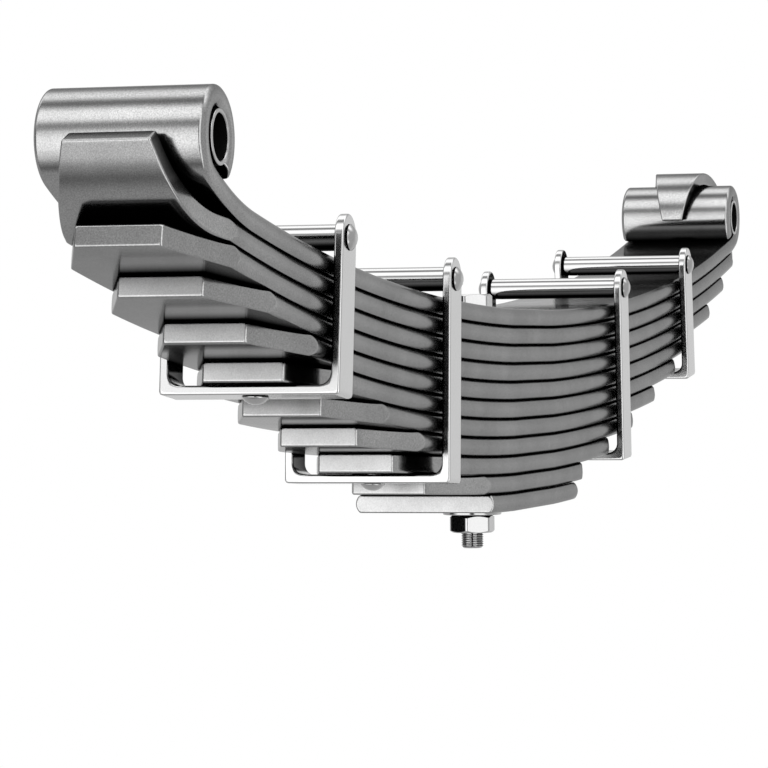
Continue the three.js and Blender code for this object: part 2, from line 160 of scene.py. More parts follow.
def at_length(stations, s, want):
    """A station between the given ones, at a length along them."""
    j = max(1, min(len(s) - 1, int(np.searchsorted(s, want))))
    f = (want - s[j - 1]) / (s[j] - s[j - 1])
    a, b = stations[j - 1], stations[j]
    out = {k: a[k] + (b[k] - a[k]) * f for k in ("x", "z", "nx", "nz")}
    q = math.hypot(out["nx"], out["nz"])
    out["nx"] /= q
    out["nz"] /= q
    for k, dflt in (("inset", 0.0), ("t", LEAF_T)):
        out[k] = a.get(k, dflt) + (b.get(k, dflt) - a.get(k, dflt)) * f
    return out


# ------------------------------------------------------------- leaf sections
_D = [0, 0.012, 0.045, 0.1, 0.175, 0.27, 0.38, 0.52, 0.68, 0.86, 1.08, 1.4, 1.9, 2.6, 3.4, 4.2]
SECTION_D = np.array(_D + [LEAF_T / 2] + [LEAF_T - d for d in reversed(_D)])


def edge_y(t):
    """Distance of the rounded edge from the leaf's middle plane, for each depth."""
    k = t / LEAF_T
    h, b, rf = t / 2, BULGE * k, EDGE_FILLET * k
    ra = (h * h + b * b) / (2 * b)
    ya = HW - ra
    yc = ya + math.sqrt((ra - rf) ** 2 - (h - rf) ** 2)
    bf = math.asin((h - rf) / (ra - rf))
    df = h - ra * math.sin(bf)
    out = []
    for d in SECTION_D * k:
        e = min(d, t - d)
        if e <= df:
            out.append(yc + math.sqrt(max(0.0, rf * rf - (rf - e) ** 2)))
        else:
            out.append(ya + math.sqrt(ra * ra - (h - e) ** 2))
    return np.array(out)


def soft_min(a, b, k):
    h = np.clip(0.5 + 0.5 * (b - a) / k, 0, 1)
    return b + (a - b) * h - k * h * (1 - h)


def ring(p, depth, shrink=0.0, cap=0.0):
    """Closed section of a leaf at a station, as points in mm."""
    t, inset = p.get("t", LEAF_T), p.get("inset", 0.0)
    d = SECTION_D * (t / LEAF_T)
    y = edge_y(t)
    if inset > -1.0:
        e = np.minimum(d, t - d)
        f = np.where(e < CUT_FILLET, CUT_FILLET - np.sqrt(np.maximum(0, CUT_FILLET ** 2 - (CUT_FILLET - np.minimum(e, CUT_FILLET)) ** 2)), 0)
        y1 = HW - inset - f
        y = soft_min(y, y1, 0.3) if inset > 0 else y
    y = y - shrink - cap
    d = (shrink + cap) + (t - 2 * (shrink + cap)) * d / t
    ys = y[0] - 0.45
    half = [(ys, d[0])] + list(zip(y, d)) + [(ys, d[-1])]
    pts = half + [(-a, b) for a, b in reversed(half)]
    return [(p["x"] - p["nx"] * (depth + n), yy, p["z"] - p["nz"] * (depth + n)) for yy, n in pts]


def finish_ends(stations, depth):
    """Stations with the tip's rounding added: (station, shrink) pairs."""
    s = lengths(stations, depth + LEAF_T / 2)
    total = s[-1]
    r = TIP_FILLET
    near = [0, 0.02, 0.09, 0.2, 0.35, 0.55, 0.78, r]
    keep = [(p, 0.0) for p, q in zip(stations, s) if r + 0.25 < q < total - r - 0.25]
    q = lambda e: r - math.sqrt(max(0.0, r * r - (r - e) ** 2))
    first = [(at_length(stations, s, e), q(e)) for e in near]
    last = [(at_length(stations, s, total - e), q(e)) for e in reversed(near)]
    return first + keep + last


def leaf_mesh(stations, depth):
    pairs = finish_ends(stations, depth)
    rings = [ring(pairs[0][0], depth, pairs[0][1], 0.35)]
    rings += [ring(p, depth, sh) for p, sh in pairs]
    rings.append(ring(pairs[-1][0], depth, pairs[-1][1], 0.35))
    m = len(rings[0])
    verts = [v for r in rings for v in r]
    faces = []
    for j in range(len(rings) - 1):
        for i in range(m):
            a, b = j * m + i, j * m + (i + 1) % m
            faces.append((a, b, b + m, a + m))
    faces.append(tuple(reversed(range(m))))
    faces.append(tuple(range((len(rings) - 1) * m, len(rings) * m)))
    return verts, faces


# ------------------------------------------------------------------ mesh tools
def mesh_object(name, verts, faces, angle=28.0):
    me = bpy.data.meshes.new(name)
    me.from_pydata([(x * 0.001, y * 0.001, z * 0.001) for x, y, z in verts], [], faces)
    bm = bmesh.new()
    bm.from_mesh(me)
    bmesh.ops.remove_doubles(bm, verts=bm.verts, dist=1e-7)
    bmesh.ops.recalc_face_normals(bm, faces=bm.faces)
    bm.to_mesh(me)
    bm.free()
    ob = bpy.data.objects.new(name, me)
    bpy.context.scene.collection.objects.link(ob)
    smooth(ob, angle)
    return ob


def smooth(ob, angle):
    ob.data.shade_smooth()
    ob.data.set_sharp_from_angle(angle=rad(angle))


def lathe_data(profile, segs=64, closed=False):
    """Turned body about +Z from (radius, height) points; profiles that aren't closed start and end on the axis."""
    verts, faces, idx = [], [], []
    for r, z in profile:
        if r < 1e-6:
            idx.append([len(verts)])
            verts.append((0, 0, z))
        else:
            idx.append(list(range(len(verts), len(verts) + segs)))
            verts += [(r * math.cos(2 * math.pi * i / segs), r * math.sin(2 * math.pi * i / segs), z) for i in range(segs)]
    pairs = list(zip(idx, idx[1:])) + ([(idx[-1], idx[0])] if closed else [])
    for a, b in pairs:
        for i in range(segs):
            j = (i + 1) % segs
            if len(a) == 1:
                faces.append((a[0], b[i], b[j]))
            elif len(b) == 1:
                faces.append((a[i], b[0], a[j]))
            else:
                faces.append((a[i], b[i], b[j], a[j]))
    return verts, faces


def along_y(verts):
    return [(x, z, -y) for x, y, z in verts]


def corner(r, z, rr, a0, a1, n=5):
    """Points of a round corner about (r, z), from angle a0 to a1 in degrees."""
    return [(r + rr * math.cos(rad(a0 + (a1 - a0) * i / n)), z + rr * math.sin(rad(a0 + (a1 - a0) * i / n))) for i in range(n + 1)]


def placed(verts, u):
    """From a clip's own frame on to the camber at u."""
    p = on_camber(u)
    th = math.atan2(p["nx"], p["nz"])
    c, s = math.cos(th), math.sin(th)
    return [(x * c + z * s + p["x"], y, -x * s + z * c + p["z"]) for x, y, z in verts]


def cut_away(ob, cutters, angle):
    for c in cutters:
        m = ob.modifiers.new("cut", "BOOLEAN")
        m.operation, m.solver, m.object = "DIFFERENCE", "EXACT", c
    dg = bpy.context.evaluated_depsgraph_get()
    me = bpy.data.meshes.new_from_object(ob.evaluated_get(dg))
    ob.modifiers.clear()
    old = ob.data
    ob.data = me
    bpy.data.meshes.remove(old)
    for c in cutters:
        d = c.data
        bpy.data.objects.remove(c)
        bpy.data.meshes.remove(d)
    smooth(ob, angle)


def drill(profile, u=None, segs=48):
    v, f = lathe_data(profile, segs)
    if u is not None:
        v = placed(v, u)
    return mesh_object("tool", v, f)


# ------------------------------------------------------------------- materials
def grain(nt, scale, detail, lo, hi, seed=0.0):
    """Noise in object space, mapped to a range."""
    tc = nt.nodes.new("ShaderNodeTexCoord")
    mp = nt.nodes.new("ShaderNodeMapping")
    mp.inputs["Location"].default_value = (seed, seed * 0.7, seed * 1.3)
    nz = nt.nodes.new("ShaderNodeTexNoise")
    nz.inputs["Scale"].default_value = scale
    nz.inputs["Detail"].default_value = detail
    nz.inputs["Roughness"].default_value = 0.6
    mr = nt.nodes.new("ShaderNodeMapRange")
    mr.inputs["From Min"].default_value, mr.inputs["From Max"].default_value = 0.3, 0.7
    mr.inputs["To Min"].default_value, mr.inputs["To Max"].default_value = lo, hi
    nt.links.new(tc.outputs["Object"], mp.inputs["Vector"])
    nt.links.new(mp.outputs["Vector"], nz.inputs["Vector"])
    nt.links.new(nz.outputs["Fac"], mr.inputs["Value"])
    return nz, mr


def metal(name, base, rough, spread=0.03, fine=1500.0, coarse=28.0, tone=0.05, bump=0.00001, edge=1.0, lay=None):
    """Steel: fine grain in tone and roughness, a slow drift of both, a bump at the grain's scale, and painted shade on
    its base colour when it is seen in reflections.
    """
    mat = bpy.data.materials.new(name)
    mat.use_nodes = True
    nt = mat.node_tree
    bs = nt.nodes["Principled BSDF"]
    bs.inputs["Metallic"].default_value = 1.0
    n1, fine_tone = grain(nt, fine, 3.0, 1 - tone, 1 + tone)
    n2, slow_tone = grain(nt, coarse, 4.0, 1 - tone * 0.6, 1 + tone * 0.6, 3.1)
    mul = nt.nodes.new("ShaderNodeMath")
    mul.operation = "MULTIPLY"
    nt.links.new(fine_tone.outputs["Result"], mul.inputs[0])
    nt.links.new(slow_tone.outputs["Result"], mul.inputs[1])
    # painted shade: in a reflection the steel's base colour is darkened by the reflected ray's length, to black close
    # up in the crevices of the pack, by a quarter between, and nearly to black far off
    lp = nt.nodes.new("ShaderNodeLightPath")
    near = nt.nodes.new("ShaderNodeMapRange")
    near.interpolation_type = "SMOOTHSTEP"
    near.inputs["From Min"].default_value, near.inputs["From Max"].default_value = CREVICE_SHADE
    near.inputs["To Min"].default_value, near.inputs["To Max"].default_value = -1.0, -0.25
    nt.links.new(lp.outputs["Ray Length"], near.inputs["Value"])
    far = nt.nodes.new("ShaderNodeMapRange")
    far.interpolation_type = "SMOOTHSTEP"
    far.inputs["From Min"].default_value, far.inputs["From Max"].default_value = DISTANT_SHADE
    far.inputs["To Min"].default_value, far.inputs["To Max"].default_value = 0.0, -0.92
    nt.links.new(lp.outputs["Ray Length"], far.inputs["Value"])
    shade_amount = nt.nodes.new("ShaderNodeMath")
    shade_amount.operation = "MINIMUM"
    nt.links.new(near.outputs["Result"], shade_amount.inputs[0])
    nt.links.new(far.outputs["Result"], shade_amount.inputs[1])
    reflection_shade = nt.nodes.new("ShaderNodeMath")
    reflection_shade.operation = "MULTIPLY_ADD"
    reflection_shade.inputs[2].default_value = 1.0
    nt.links.new(shade_amount.outputs[0], reflection_shade.inputs[1])
    nt.links.new(lp.outputs["Is Glossy Ray"], reflection_shade.inputs[0])
    shaded_tone = nt.nodes.new("ShaderNodeMath")
    shaded_tone.operation = "MULTIPLY"
    nt.links.new(mul.outputs[0], shaded_tone.inputs[0])
    nt.links.new(reflection_shade.outputs[0], shaded_tone.inputs[1])
    mix = nt.nodes.new("ShaderNodeVectorMath")
    mix.operation = "SCALE"
    mix.inputs[0].default_value = (base, base, base)
    nt.links.new(shaded_tone.outputs[0], mix.inputs["Scale"])
    nt.links.new(mix.outputs["Vector"], bs.inputs["Base Color"])
    # painted shade: the edge tint is darkened by the same factor in reflections
    rim = nt.nodes.new("ShaderNodeVectorMath")
    rim.operation = "SCALE"
    rim.inputs[0].default_value = (edge, edge, edge)
    nt.links.new(reflection_shade.outputs[0], rim.inputs["Scale"])
    nt.links.new(rim.outputs["Vector"], bs.inputs["Specular Tint"])
    n3, r1 = grain(nt, coarse * 2.3, 5.0, rough - spread, rough + spread, 7.7)
    nt.links.new(r1.outputs["Result"], bs.inputs["Roughness"])
    bp = nt.nodes.new("ShaderNodeBump")
    bp.inputs["Strength"].default_value = 0.6
    bp.inputs["Distance"].default_value = bump
    source = n1
    if lay is not None:
        # turned or drawn marks: noise stretched along one direction
        tc = nt.nodes.new("ShaderNodeTexCoord")
        mp = nt.nodes.new("ShaderNodeMapping")
        mp.inputs["Scale"].default_value = lay
        nz = nt.nodes.new("ShaderNodeTexNoise")
        nz.inputs["Scale"].default_value = 1.0
        nz.inputs["Detail"].default_value = 4.0
        nt.links.new(tc.outputs["Object"], mp.inputs["Vector"])
        nt.links.new(mp.outputs["Vector"], nz.inputs["Vector"])
        source = nz
    nt.links.new(source.outputs["Fac"], bp.inputs["Height"])
    nt.links.new(bp.outputs["Normal"], bs.inputs["Normal"])
    return mat


# ray lengths in metres over which the painted shade in reflections eases: off away from the crevices, back on far off
CREVICE_SHADE, DISTANT_SHADE = (0.001, 0.029), (0.026, 0.060)  # metres
LEAF = metal("leaf_spring_steel", 0.42, 0.16, 0.012, 1500, 22, 0.21, 0.000008, 0.5)
SHEARED = metal("leaf_sheared_end", 0.61, 0.33, 0.03, 1500, 40, 0.12, 0.00001, 0.6)
BUSH = metal("bush_turned_steel", 0.50, 0.20, 0.03, 1200, 40, 0.05, 0.000006, 0.8, (120, 3000, 120))
ZINC = metal("clip_bright_zinc", 0.65, 0.15, 0.02, 1300, 30, 0.03, 0.000004, 0.92)
TUBE = metal("tube_polished", 0.59, 0.10, 0.02, 900, 30, 0.02, 0.000002, 0.95, (200, 2500, 200))
BOLT = metal("bolt_bright_zinc", 0.55, 0.14, 0.02, 1200, 35, 0.03, 0.000004, 0.92)
# painted shade: a near-black material for the bush bores, standing in for the shade inside them
BORE_SHADE = metal("bore_painted_shade", 0.02, 0.6, 0.05, 900, 40, 0.2, 0.00002, 0.3)


def dress(ob, node, body, slot_name, *mats):
    for m in mats:
        ob.data.materials.append(m)
    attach(ob, body)
    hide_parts(node)
    return ob


PACK = "spring_pack"

# ----------------------------------------------------------------------- leaves
near_start, near_eye = eye_path(EYE_NEAR, 540 + EYE_NEAR["tip"])
far_start, far_eye = eye_path(EYE_FAR, 540 + EYE_FAR["tip"])


def span(a, b, step):
    n = max(1, int(round((b - a) / step)))
    return [a + (b - a) * i / n for i in range(n + 1)]


def main_leaf():
    mid = camber_run(-near_start, far_start, [-45.5, -44.5, 44.5, 45.5])
    return leaf_mesh(mirrored(near_eye) + mid + far_eye, 0)


def wrapper_leaf():
    depth, h = PITCH, HALF_WRAP
    u0 = top_line_x(h["start"], depth)
    p0 = on_camber(u0)
    a0, a1 = math.atan(slope(u0)), rad(h["angle"])
    sx, sz = p0["x"] - p0["nx"] * depth, p0["z"] - p0["nz"] * depth
    cx, cz = sx - h["radius"] * math.sin(a0), sz + h["radius"] * math.cos(a0)
    near = []
    n = 48
    for i in range(1, n + 1):
        a = a0 + (a1 - a0) * i / n
        near.append((cx + h["radius"] * math.sin(a), cz - h["radius"] * math.cos(a), a))
    ex, ez, _ = near[-1]
    for i in range(1, 5):
        s = h["straight"] * i / 4
        near.append((ex + s * math.cos(a1), ez + s * math.sin(a1), a1))
    near_st = [dict(x=tx - math.sin(a) * depth, z=tz + math.cos(a) * depth, nx=-math.sin(a), nz=math.cos(a)) for tx, tz, a in near]
    _, far_all = eye_path(EYE_FAR, FULL_WRAP_END, lead_steps=40)
    cut = top_line_x(h["cut"], depth)
    extra = [-x for x in span(cut - 1.5, u0 - 0.4, 0.45)] + [-45.5, -44.5, 44.5, 45.5]
    mid = camber_run(-u0, far_start, extra)
    st = mirrored(near_st) + mid + far_all
    s = lengths(st, depth + LEAF_T / 2)
    i_cut = min(range(len(st)), key=lambda i: abs(st[i]["x"] + cut) + (1e6 if st[i]["z"] > 250 or st[i]["x"] > 0 else 0))
    full = HW - TIP_HALF_W
    for i, p in enumerate(st):
        if i < i_cut:
            p["inset"] = full * (s[i_cut] - s[i]) / s[i_cut]
        elif "deg" in p:
            g = max(0.0, (p["deg"] - 290) / 250)
            p["inset"] = 4 + 27 * g ** 1.05
            p["t"] = LEAF_T + (FULL_WRAP_T - LEAF_T) * min(1, 2 * g)
        elif p["x"] > far_start + 0.5:
            p["inset"] = 4 * min(1, (p["x"] - far_start) / (EYE_FAR["x"] - far_start))
    return leaf_mesh(st, depth)


def plain_leaf(k):
    depth = (k - 1) * PITCH
    a, b = (top_line_x(x, depth + LEAF_T / 2) for x in LEAF_TIPS[k])
    c = CUT_LENGTH[k]
    extra = [-45.5, -44.5, 44.5, 45.5]
    if c:
        for tip, sign in ((a, -1), (b, 1)):
            extra += [sign * x for x in span(tip - c - 1.0, tip - c + 9.0, 0.45)]
            extra += [sign * x for x in span(tip - c + 9.0, tip, 5.0)]
    st = camber_run(-a, b, extra)
    if c:
        full = HW - TIP_HALF_W
        for p in st:
            tip = a if p["x"] < 0 else b
            p["inset"] = max(0.0, (abs(p["x"]) - (tip - c)) / c) * full
    return leaf_mesh(st, depth)


def leaf_tools(k):
    depth = (k - 1) * PITCH
    z = Z_SHIFT - depth
    e = 0.35
    tools = [drill([(0, z + 4), (BOLT_HOLE_R + e + 4, z + 4), (BOLT_HOLE_R, z - e), (BOLT_HOLE_R, z - LEAF_T + e), (BOLT_HOLE_R + e + 4, z - LEAF_T - 4), (0, z - LEAF_T - 4)])]
    for _, u, leaf in CLIPS:
        if leaf == k:
            t = -depth
            rs = SINK_R + GAP + 0.35
            tools.append(drill([(0, t + 3), (rs + 2, t + 3), (rs, t + 0.35), (RIVET_HOLE_R, t - SINK_H - 0.2), (RIVET_HOLE_R, t - LEAF_T - 2), (0, t - LEAF_T - 2)], u))
    return tools


leaves = {"main_leaf": (main_leaf, 1), "wrapper_leaf": (wrapper_leaf, 2)}
for k in range(3, LEAF_COUNT + 1):
    leaves[f"leaf_{k}"] = (lambda k=k: plain_leaf(k), k)
for node, (make, k) in leaves.items():
    ob = mesh_object(node + "_rolled", *make())
    cut_away(ob, leaf_tools(k), 28)
    dress(ob, node, PACK, "leaf_steel", LEAF, SHEARED)
    if k > 3:
        # the sheared ends of the shorter leaves are rougher and paler
        for p in ob.data.polygons:
            if abs(p.normal.x) > 0.93:
                p.material_index = 1


# ------------------------------------------------------------------ eye bushes
def bush(node, eye, sign):
    h, c, r0, r1 = BUSH_LEN / 2, 0.5, BUSH_BORE_R, BUSH_R
    outer = corner(r1 - c, h - c, c, 90, 0) + corner(r1 - c, -h + c, c, 0, -90)
    bore = [(r0 + 0.35, -h), (r0, -h + 0.35), (r0, -h + 1.2), (r0, h - 1.2), (r0, h - 0.35), (r0 + 0.35, h)]
    mids = [(r0 + 0.6, -h)]
    prof = [(r1 - c - 0.25, h)] + outer + [(r1 - c - 0.25, -h)] + mids + bore + [(r0 + 0.6, h)]
    v, f = lathe_data(prof, 72, closed=True)
    v = [(x + sign * eye["x"], y, z + Z_SHIFT + eye["z"]) for x, y, z in along_y(v)]
    ob = mesh_object(node + "_turned", v, f, 40)
    dress(ob, node, PACK, "bush_steel", BUSH, BORE_SHADE)
    cx, cz = sign * eye["x"] * 0.001, (Z_SHIFT + eye["z"]) * 0.001
    # painted shade: the faces of the bore take the near-black material
    for p in ob.data.polygons:
        if math.hypot(p.center.x - cx, p.center.z - cz) < (r0 + 0.1) * 0.001:
            p.material_index = 1
    return ob


bush("eye_bush_near", EYE_NEAR, -1)
bush("eye_bush_far", EYE_FAR, 1)


# ----------------------------------------------------- centre bolt, nut, washer
def hex_radius(a, af, fillet=0.5):
    """Radius of a hexagon's outline at an angle in degrees, with its corners just eased."""
    q = ((a - HEX_TURN + 30) % 60) - 30
    flat = (af / 2) / math.cos(rad(q))
    r = af / math.sqrt(3) - fillet * 0.45
    h = min(1, max(0, 0.5 + 0.5 * (r - flat) / 0.35))
    return r + (flat - r) * h - 0.35 * h * (1 - h)


def hex_body(af, z0, z1, crown_top, crown_bottom, bore=None, tail=None):
    """Hexagon with its corners turned off by a 30 degree cone at the crowned ends."""
    segs = 144
    angs = [360 * i / segs for i in range(segs)]
    corner_r = af / math.sqrt(3)
    drop = (corner_r - af / 2 * 0.96) * math.tan(rad(30))
    h = z1 - z0
    zs = sorted(set([round(x, 4) for x in np.linspace(0, drop * 1.3, 14)] + [round(h - x, 4) for x in np.linspace(0, drop * 1.3, 14)] + [h / 2]))
    verts, rows = [], []
    for z in zs:
        row = []
        for a in angs:
            r = hex_radius(a, af)
            for crowned, e in ((crown_bottom, z), (crown_top, h - z)):
                lim = af / 2 * 0.96 + e / math.tan(rad(30)) if crowned else corner_r + 9
                if not crowned:
                    lim = r - max(0.0, 0.25 - math.sqrt(max(0.0, 0.0625 - (0.25 - min(e, 0.25)) ** 2))) + 0.0
                    r = min(r, lim)
                    continue
                k = 0.3
                g = min(1, max(0, 0.5 + 0.5 * (lim - r) / k))
                r = lim + (r - lim) * g - k * g * (1 - g)
            row.append(len(verts))
            verts.append((r * math.cos(rad(a)), r * math.sin(rad(a)), z0 + z))
        rows.append(row)
    faces = []
    for lo, hi in zip(rows, rows[1:]):
        for i in range(segs):
            j = (i + 1) % segs
            faces.append((lo[i], lo[j], hi[j], hi[i]))

    def cap(row, z, holes, flip):
        prev = row
        for k, r in enumerate(holes):
            new = []
            for a in angs:
                new.append(len(verts))
                rr, zz = r
                verts.append((rr * math.cos(rad(a)), rr * math.sin(rad(a)), zz))
            for i in range(segs):
                j = (i + 1) % segs
                q = (prev[i], new[i], new[j], prev[j])
                faces.append(tuple(reversed(q)) if flip else q)
            prev = new
        return prev

    return verts, faces, rows, cap


def bolt_profile_thread(z_top, z_end):
    """Right-hand thread on the tail of the bolt, open at the top, closed at the end."""
    segs = 72
    depth = 0.5 * THREAD_PITCH
    n = int((z_top - z_end) / (THREAD_PITCH / 12))
    verts, rows = [], []
    for k in range(n + 1):
        z = z_end + (z_top - z_end) * k / n
        row = []
        for i in range(segs):
            a = 2 * math.pi * i / segs
            ph = ((z - z_end) / THREAD_PITCH - a / (2 * math.pi)) % 1.0
            tri = abs(ph - 0.5) * 2  # 0 at the root, 1 at the crest
            r = BOLT_R - depth * (1 - min(1.0, max(0.0, tri * 1.7 - 0.25)))
            cone = BOLT_R - 1.25 + (z - z_end) * 1.05
            run_out = (z - (z_top - 0.9)) / 0.9
            if run_out > 0:
                r = r + (BOLT_R - 0.05 - r) * min(1, run_out)
            row.append(len(verts))
            rr = min(r, cone)
            verts.append((rr * math.cos(a), rr * math.sin(a), z))
        rows.append(row)
    faces = []
    for lo, hi in zip(rows, rows[1:]):
        for i in range(segs):
            j = (i + 1) % segs
            faces.append((lo[i], lo[j], hi[j], hi[i]))
    return verts, faces, rows, segs


def centre_bolt():
    nut_top = -(GAP + WASHER_T + GAP)
    end = nut_top - NUT_H - BOLT_TAIL
    top = Z_SHIFT + GAP
    # head
    verts, faces, rows, cap = hex_body(HEX_AF, top, top + HEAD_H, True, False)
    crown = cap(rows[-1], 0, [(HEX_AF / 2 * 0.96 - 0.5, top + HEAD_H), (2.0, top + HEAD_H)], True)
    faces.append(tuple(crown))
    segs = len(crown)
    # shank down to the thread
    z_thread = nut_top - NUT_H + 1.6
    under = cap(rows[0], 0, [(HEX_AF / 2 - 0.9, top), (BOLT_R + 0.5, top), (BOLT_R, top - 0.4), (BOLT_R, top - 30), (BOLT_R, z_thread + 2)], False)
    tv, tf, trows, tsegs = bolt_profile_thread(z_thread, end)
    off = len(verts)
    verts += tv
    faces += [tuple(i + off for i in f) for f in tf]
    top_row = [i + off for i in trows[-1]]
    # 144 to 72 points: pair them up
    for i in range(tsegs):
        a, b, c = under[2 * i], under[(2 * i + 1) % segs], under[(2 * i + 2) % segs]
        p, q = top_row[i], top_row[(i + 1) % tsegs]
        faces.append((a, p, b))
        faces.append((b, p, q))
        faces.append((b, q, c))
    tip = [i + off for i in trows[0]]
    inner = []
    for i in range(tsegs):
        inner.append(len(verts))
        a = 2 * math.pi * i / tsegs
        verts.append(((BOLT_R - 2.2) * math.cos(a), (BOLT_R - 2.2) * math.sin(a), end))
    for i in range(tsegs):
        j = (i + 1) % tsegs
        faces.append((tip[i], inner[i], inner[j], tip[j]))
    faces.append(tuple(inner))
    return verts, faces


def centre_nut():
    nut_top = -(GAP + WASHER_T + GAP)
    z0, z1, rb = nut_top - NUT_H, nut_top, BOLT_R + GAP
    verts, faces, rows, cap = hex_body(HEX_AF, z0, z1, True, True)
    low = cap(rows[0], 0, [(HEX_AF / 2 * 0.96 - 0.5, z0), (rb + 1.3, z0), (rb, z0 + 0.9), (rb, z0 + 1.5)], False)
    high = cap(rows[-1], 0, [(HEX_AF / 2 * 0.96 - 0.5, z1), (rb + 1.3, z1), (rb, z1 - 0.9), (rb, z1 - 1.5)], True)
    n = len(low)
    for i in range(n):
        j = (i + 1) % n
        faces.append((low[i], high[i], high[j], low[j]))
    return verts, faces


def centre_washer():
    z0, z1, c, rb = -GAP - WASHER_T, -GAP, 0.7, BOLT_R + GAP
    prof = [(rb + 0.3, z1), (WASHER_R - c - 0.3, z1)] + corner(WASHER_R - 0.35, z1 - 0.35, 0.35, 90, 0) + corner(WASHER_R - c, z0 + c, c, 0, -90)
    prof += [(WASHER_R - c - 0.3, z0), (rb + 0.6, z0), (rb + 0.3, z0), (rb, z0 + 0.3), (rb, z1 - 0.3)]
    return lathe_data(prof, 96, closed=True)


for node, data in (("centre_bolt", centre_bolt()), ("centre_nut", centre_nut()), ("centre_washer", centre_washer())):
    dress(mesh_object(node + "_turned", *data, angle=35), node, PACK, "bolt_zinc", BOLT)


# -------------------------------------------------------------- rebound clips
def strap_data(leaf):
    """A flat strip with round ends and eased edges, folded round the pack."""
    base = -leaf * PITCH           # upper face of the strap's base
    ri, t, yi = STRAP_IN_R, STRAP_T, STRAP_IN
    up = PIN_HEIGHT - (base + ri)  # straight run of each ear, corner to pin axis
    flat = 2 * (yi - ri)
    arc = ri * math.pi / 2
    total = 2 * up + 2 * arc + flat  # between the two pin axes, on the inner face
    ro = t + ri

    def outer_r(ph):
        c, s = math.cos(ph), math.sin(ph)
        r = ro / max(c, s)
        # eased outer corner
        k = STRAP_OUT_R
        cc = ro - k
        b = cc * (c + s)
        disc = b * b - (2 * cc * cc - k * k)
        if disc > 0:
            rc = b + math.sqrt(disc)
            if rc * c > cc and rc * s > cc:
                r = min(r, rc)
        return r

    def fold(s, w, d):
        """s along the strip from the left pin axis, d from the inner face out."""
        side = 1
        if s > total / 2:
            s, side = total - s, -1
        if s < up:
            y, z = yi + d, PIN_HEIGHT - s
        elif s < up + arc:
            ph = (s - up) / ri
            r = ri + (outer_r(ph) - ri) * (d / t)
            y, z = (yi - ri) + r * math.cos(ph), (base + ri) - r * math.sin(ph)
        else:
            y, z = (yi - ri) - (s - up - arc), base - d
        return (w, side * y, z)

    # stations along the strip
    arc_s = [up + arc * i / 18 for i in range(19)]
    straight = span(0, up, 8.0)[:-1]
    middle = span(up + arc, total / 2, 6.0)[1:]
    half = straight + arc_s + middle
    stations = half + [total - s for s in reversed(half[:-1])]
    R = STRAP_W / 2
    ends = 14
    e, n = 1.0, 5
    prof = []  # (inset from the rim, depth)
    prof.append((e + 0.25, 0.0))
    prof += [(e - e * math.sin(rad(90 * i / n)), e - e * math.cos(rad(90 * i / n))) for i in range(n + 1)]
    prof += [(0.0, e + 0.2), (0.0, t - e - 0.2)]
    prof += [(e - e * math.cos(rad(90 * i / n)), t - e + e * math.sin(rad(90 * i / n))) for i in range(n + 1)]
    prof.append((e + 0.25, t))
    verts, loops = [], []
    for q, d in prof:
        r = R - q
        pts = []
        for i in range(ends):  # round end on the left
            a = rad(90 * i / ends)
            pts.append((-r * math.cos(a), r * math.sin(a)))
        pts += [(s, r) for s in stations]
        for i in range(ends - 1, -1, -1):
            a = rad(90 * i / ends)
            pts.append((total + r * math.cos(a), r * math.sin(a)))
        plus, minus = [], []
        for i, (s, w) in enumerate(pts):
            plus.append(len(verts))
            verts.append(fold(s, w, d))
            if i in (0, len(pts) - 1):
                minus.append(plus[-1])
            else:
                minus.append(len(verts))
                verts.append(fold(s, -w, d))
        loops.append((plus, minus))
    faces = []
    for (p0, m0), (p1, m1) in zip(loops, loops[1:]):
        for row0, row1, flip in ((p0, p1, False), (m0, m1, True)):
            for i in range(len(row0) - 1):
                q = (row0[i], row0[i + 1], row1[i + 1], row1[i])
                faces.append(tuple(reversed(q)) if flip else q)
    for (p, m), flip in ((loops[0], False), (loops[-1], True)):
        for i in range(len(p) - 1):
            q = [p[i], m[i], m[i + 1], p[i + 1]]
            q = [x for j, x in enumerate(q) if x not in q[:j]]
            faces.append(tuple(reversed(q)) if flip else tuple(q))
    return verts, faces


def dome(head_r, head_h, z, up=True, n=14, rim=0.2):
    """Rivet head: part of a ball on a thin rim, from the rim to the crown."""
    sgn = 1 if up else -1
    h = head_h - rim
    ball = (head_r * head_r + h * h) / (2 * h)
    full = math.asin(head_r / ball)
    pts = [(head_r - 0.25, z), (head_r - 0.06, z), (head_r, z + sgn * 0.06), (head_r, z + sgn * rim)]
    for i in range(1, n + 1):
        a = full * (1 - i / n)
        pts.append((ball * math.sin(a), z + sgn * (head_h - ball + ball * math.cos(a))))
    pts[-1] = (0.0, z + sgn * head_h)
    return pts


def clip_pin():
    h = STRAP_IN + STRAP_T + GAP
    top, low = dome(PIN_HEAD_R, PIN_HEAD_H, h), dome(PIN_HEAD_R, PIN_HEAD_H, -h, up=False)
    prof = list(reversed(low)) + [(PIN_R + 0.3, -h), (PIN_R, -h + 0.3), (PIN_R, -h + 6), (PIN_R, h - 6), (PIN_R, h - 0.3), (PIN_R + 0.3, h)] + top
    v, f = lathe_data(prof, 64)
    return [(x, y, z + PIN_HEIGHT) for x, y, z in along_y(v)], f


def spacer_tube():
    h, c, r0, r1 = STRAP_IN - GAP, 0.4, TUBE_BORE_R, TUBE_R
    prof = [(r1 - c - 0.15, h)] + corner(r1 - c, h - c, c, 90, 0) + [(r1, h - 1.0), (r1, -h + 1.0)] + corner(r1 - c, -h + c, c, 0, -90) + [(r1 - c - 0.15, -h)]
    prof += [(r0 + 0.3, -h), (r0, -h + 0.3), (r0, -h + 1.0), (r0, h - 1.0), (r0, h - 0.3), (r0 + 0.3, h)]
    v, f = lathe_data(prof, 72, closed=True)
    return [(x, y, z + PIN_HEIGHT) for x, y, z in along_y(v)], f


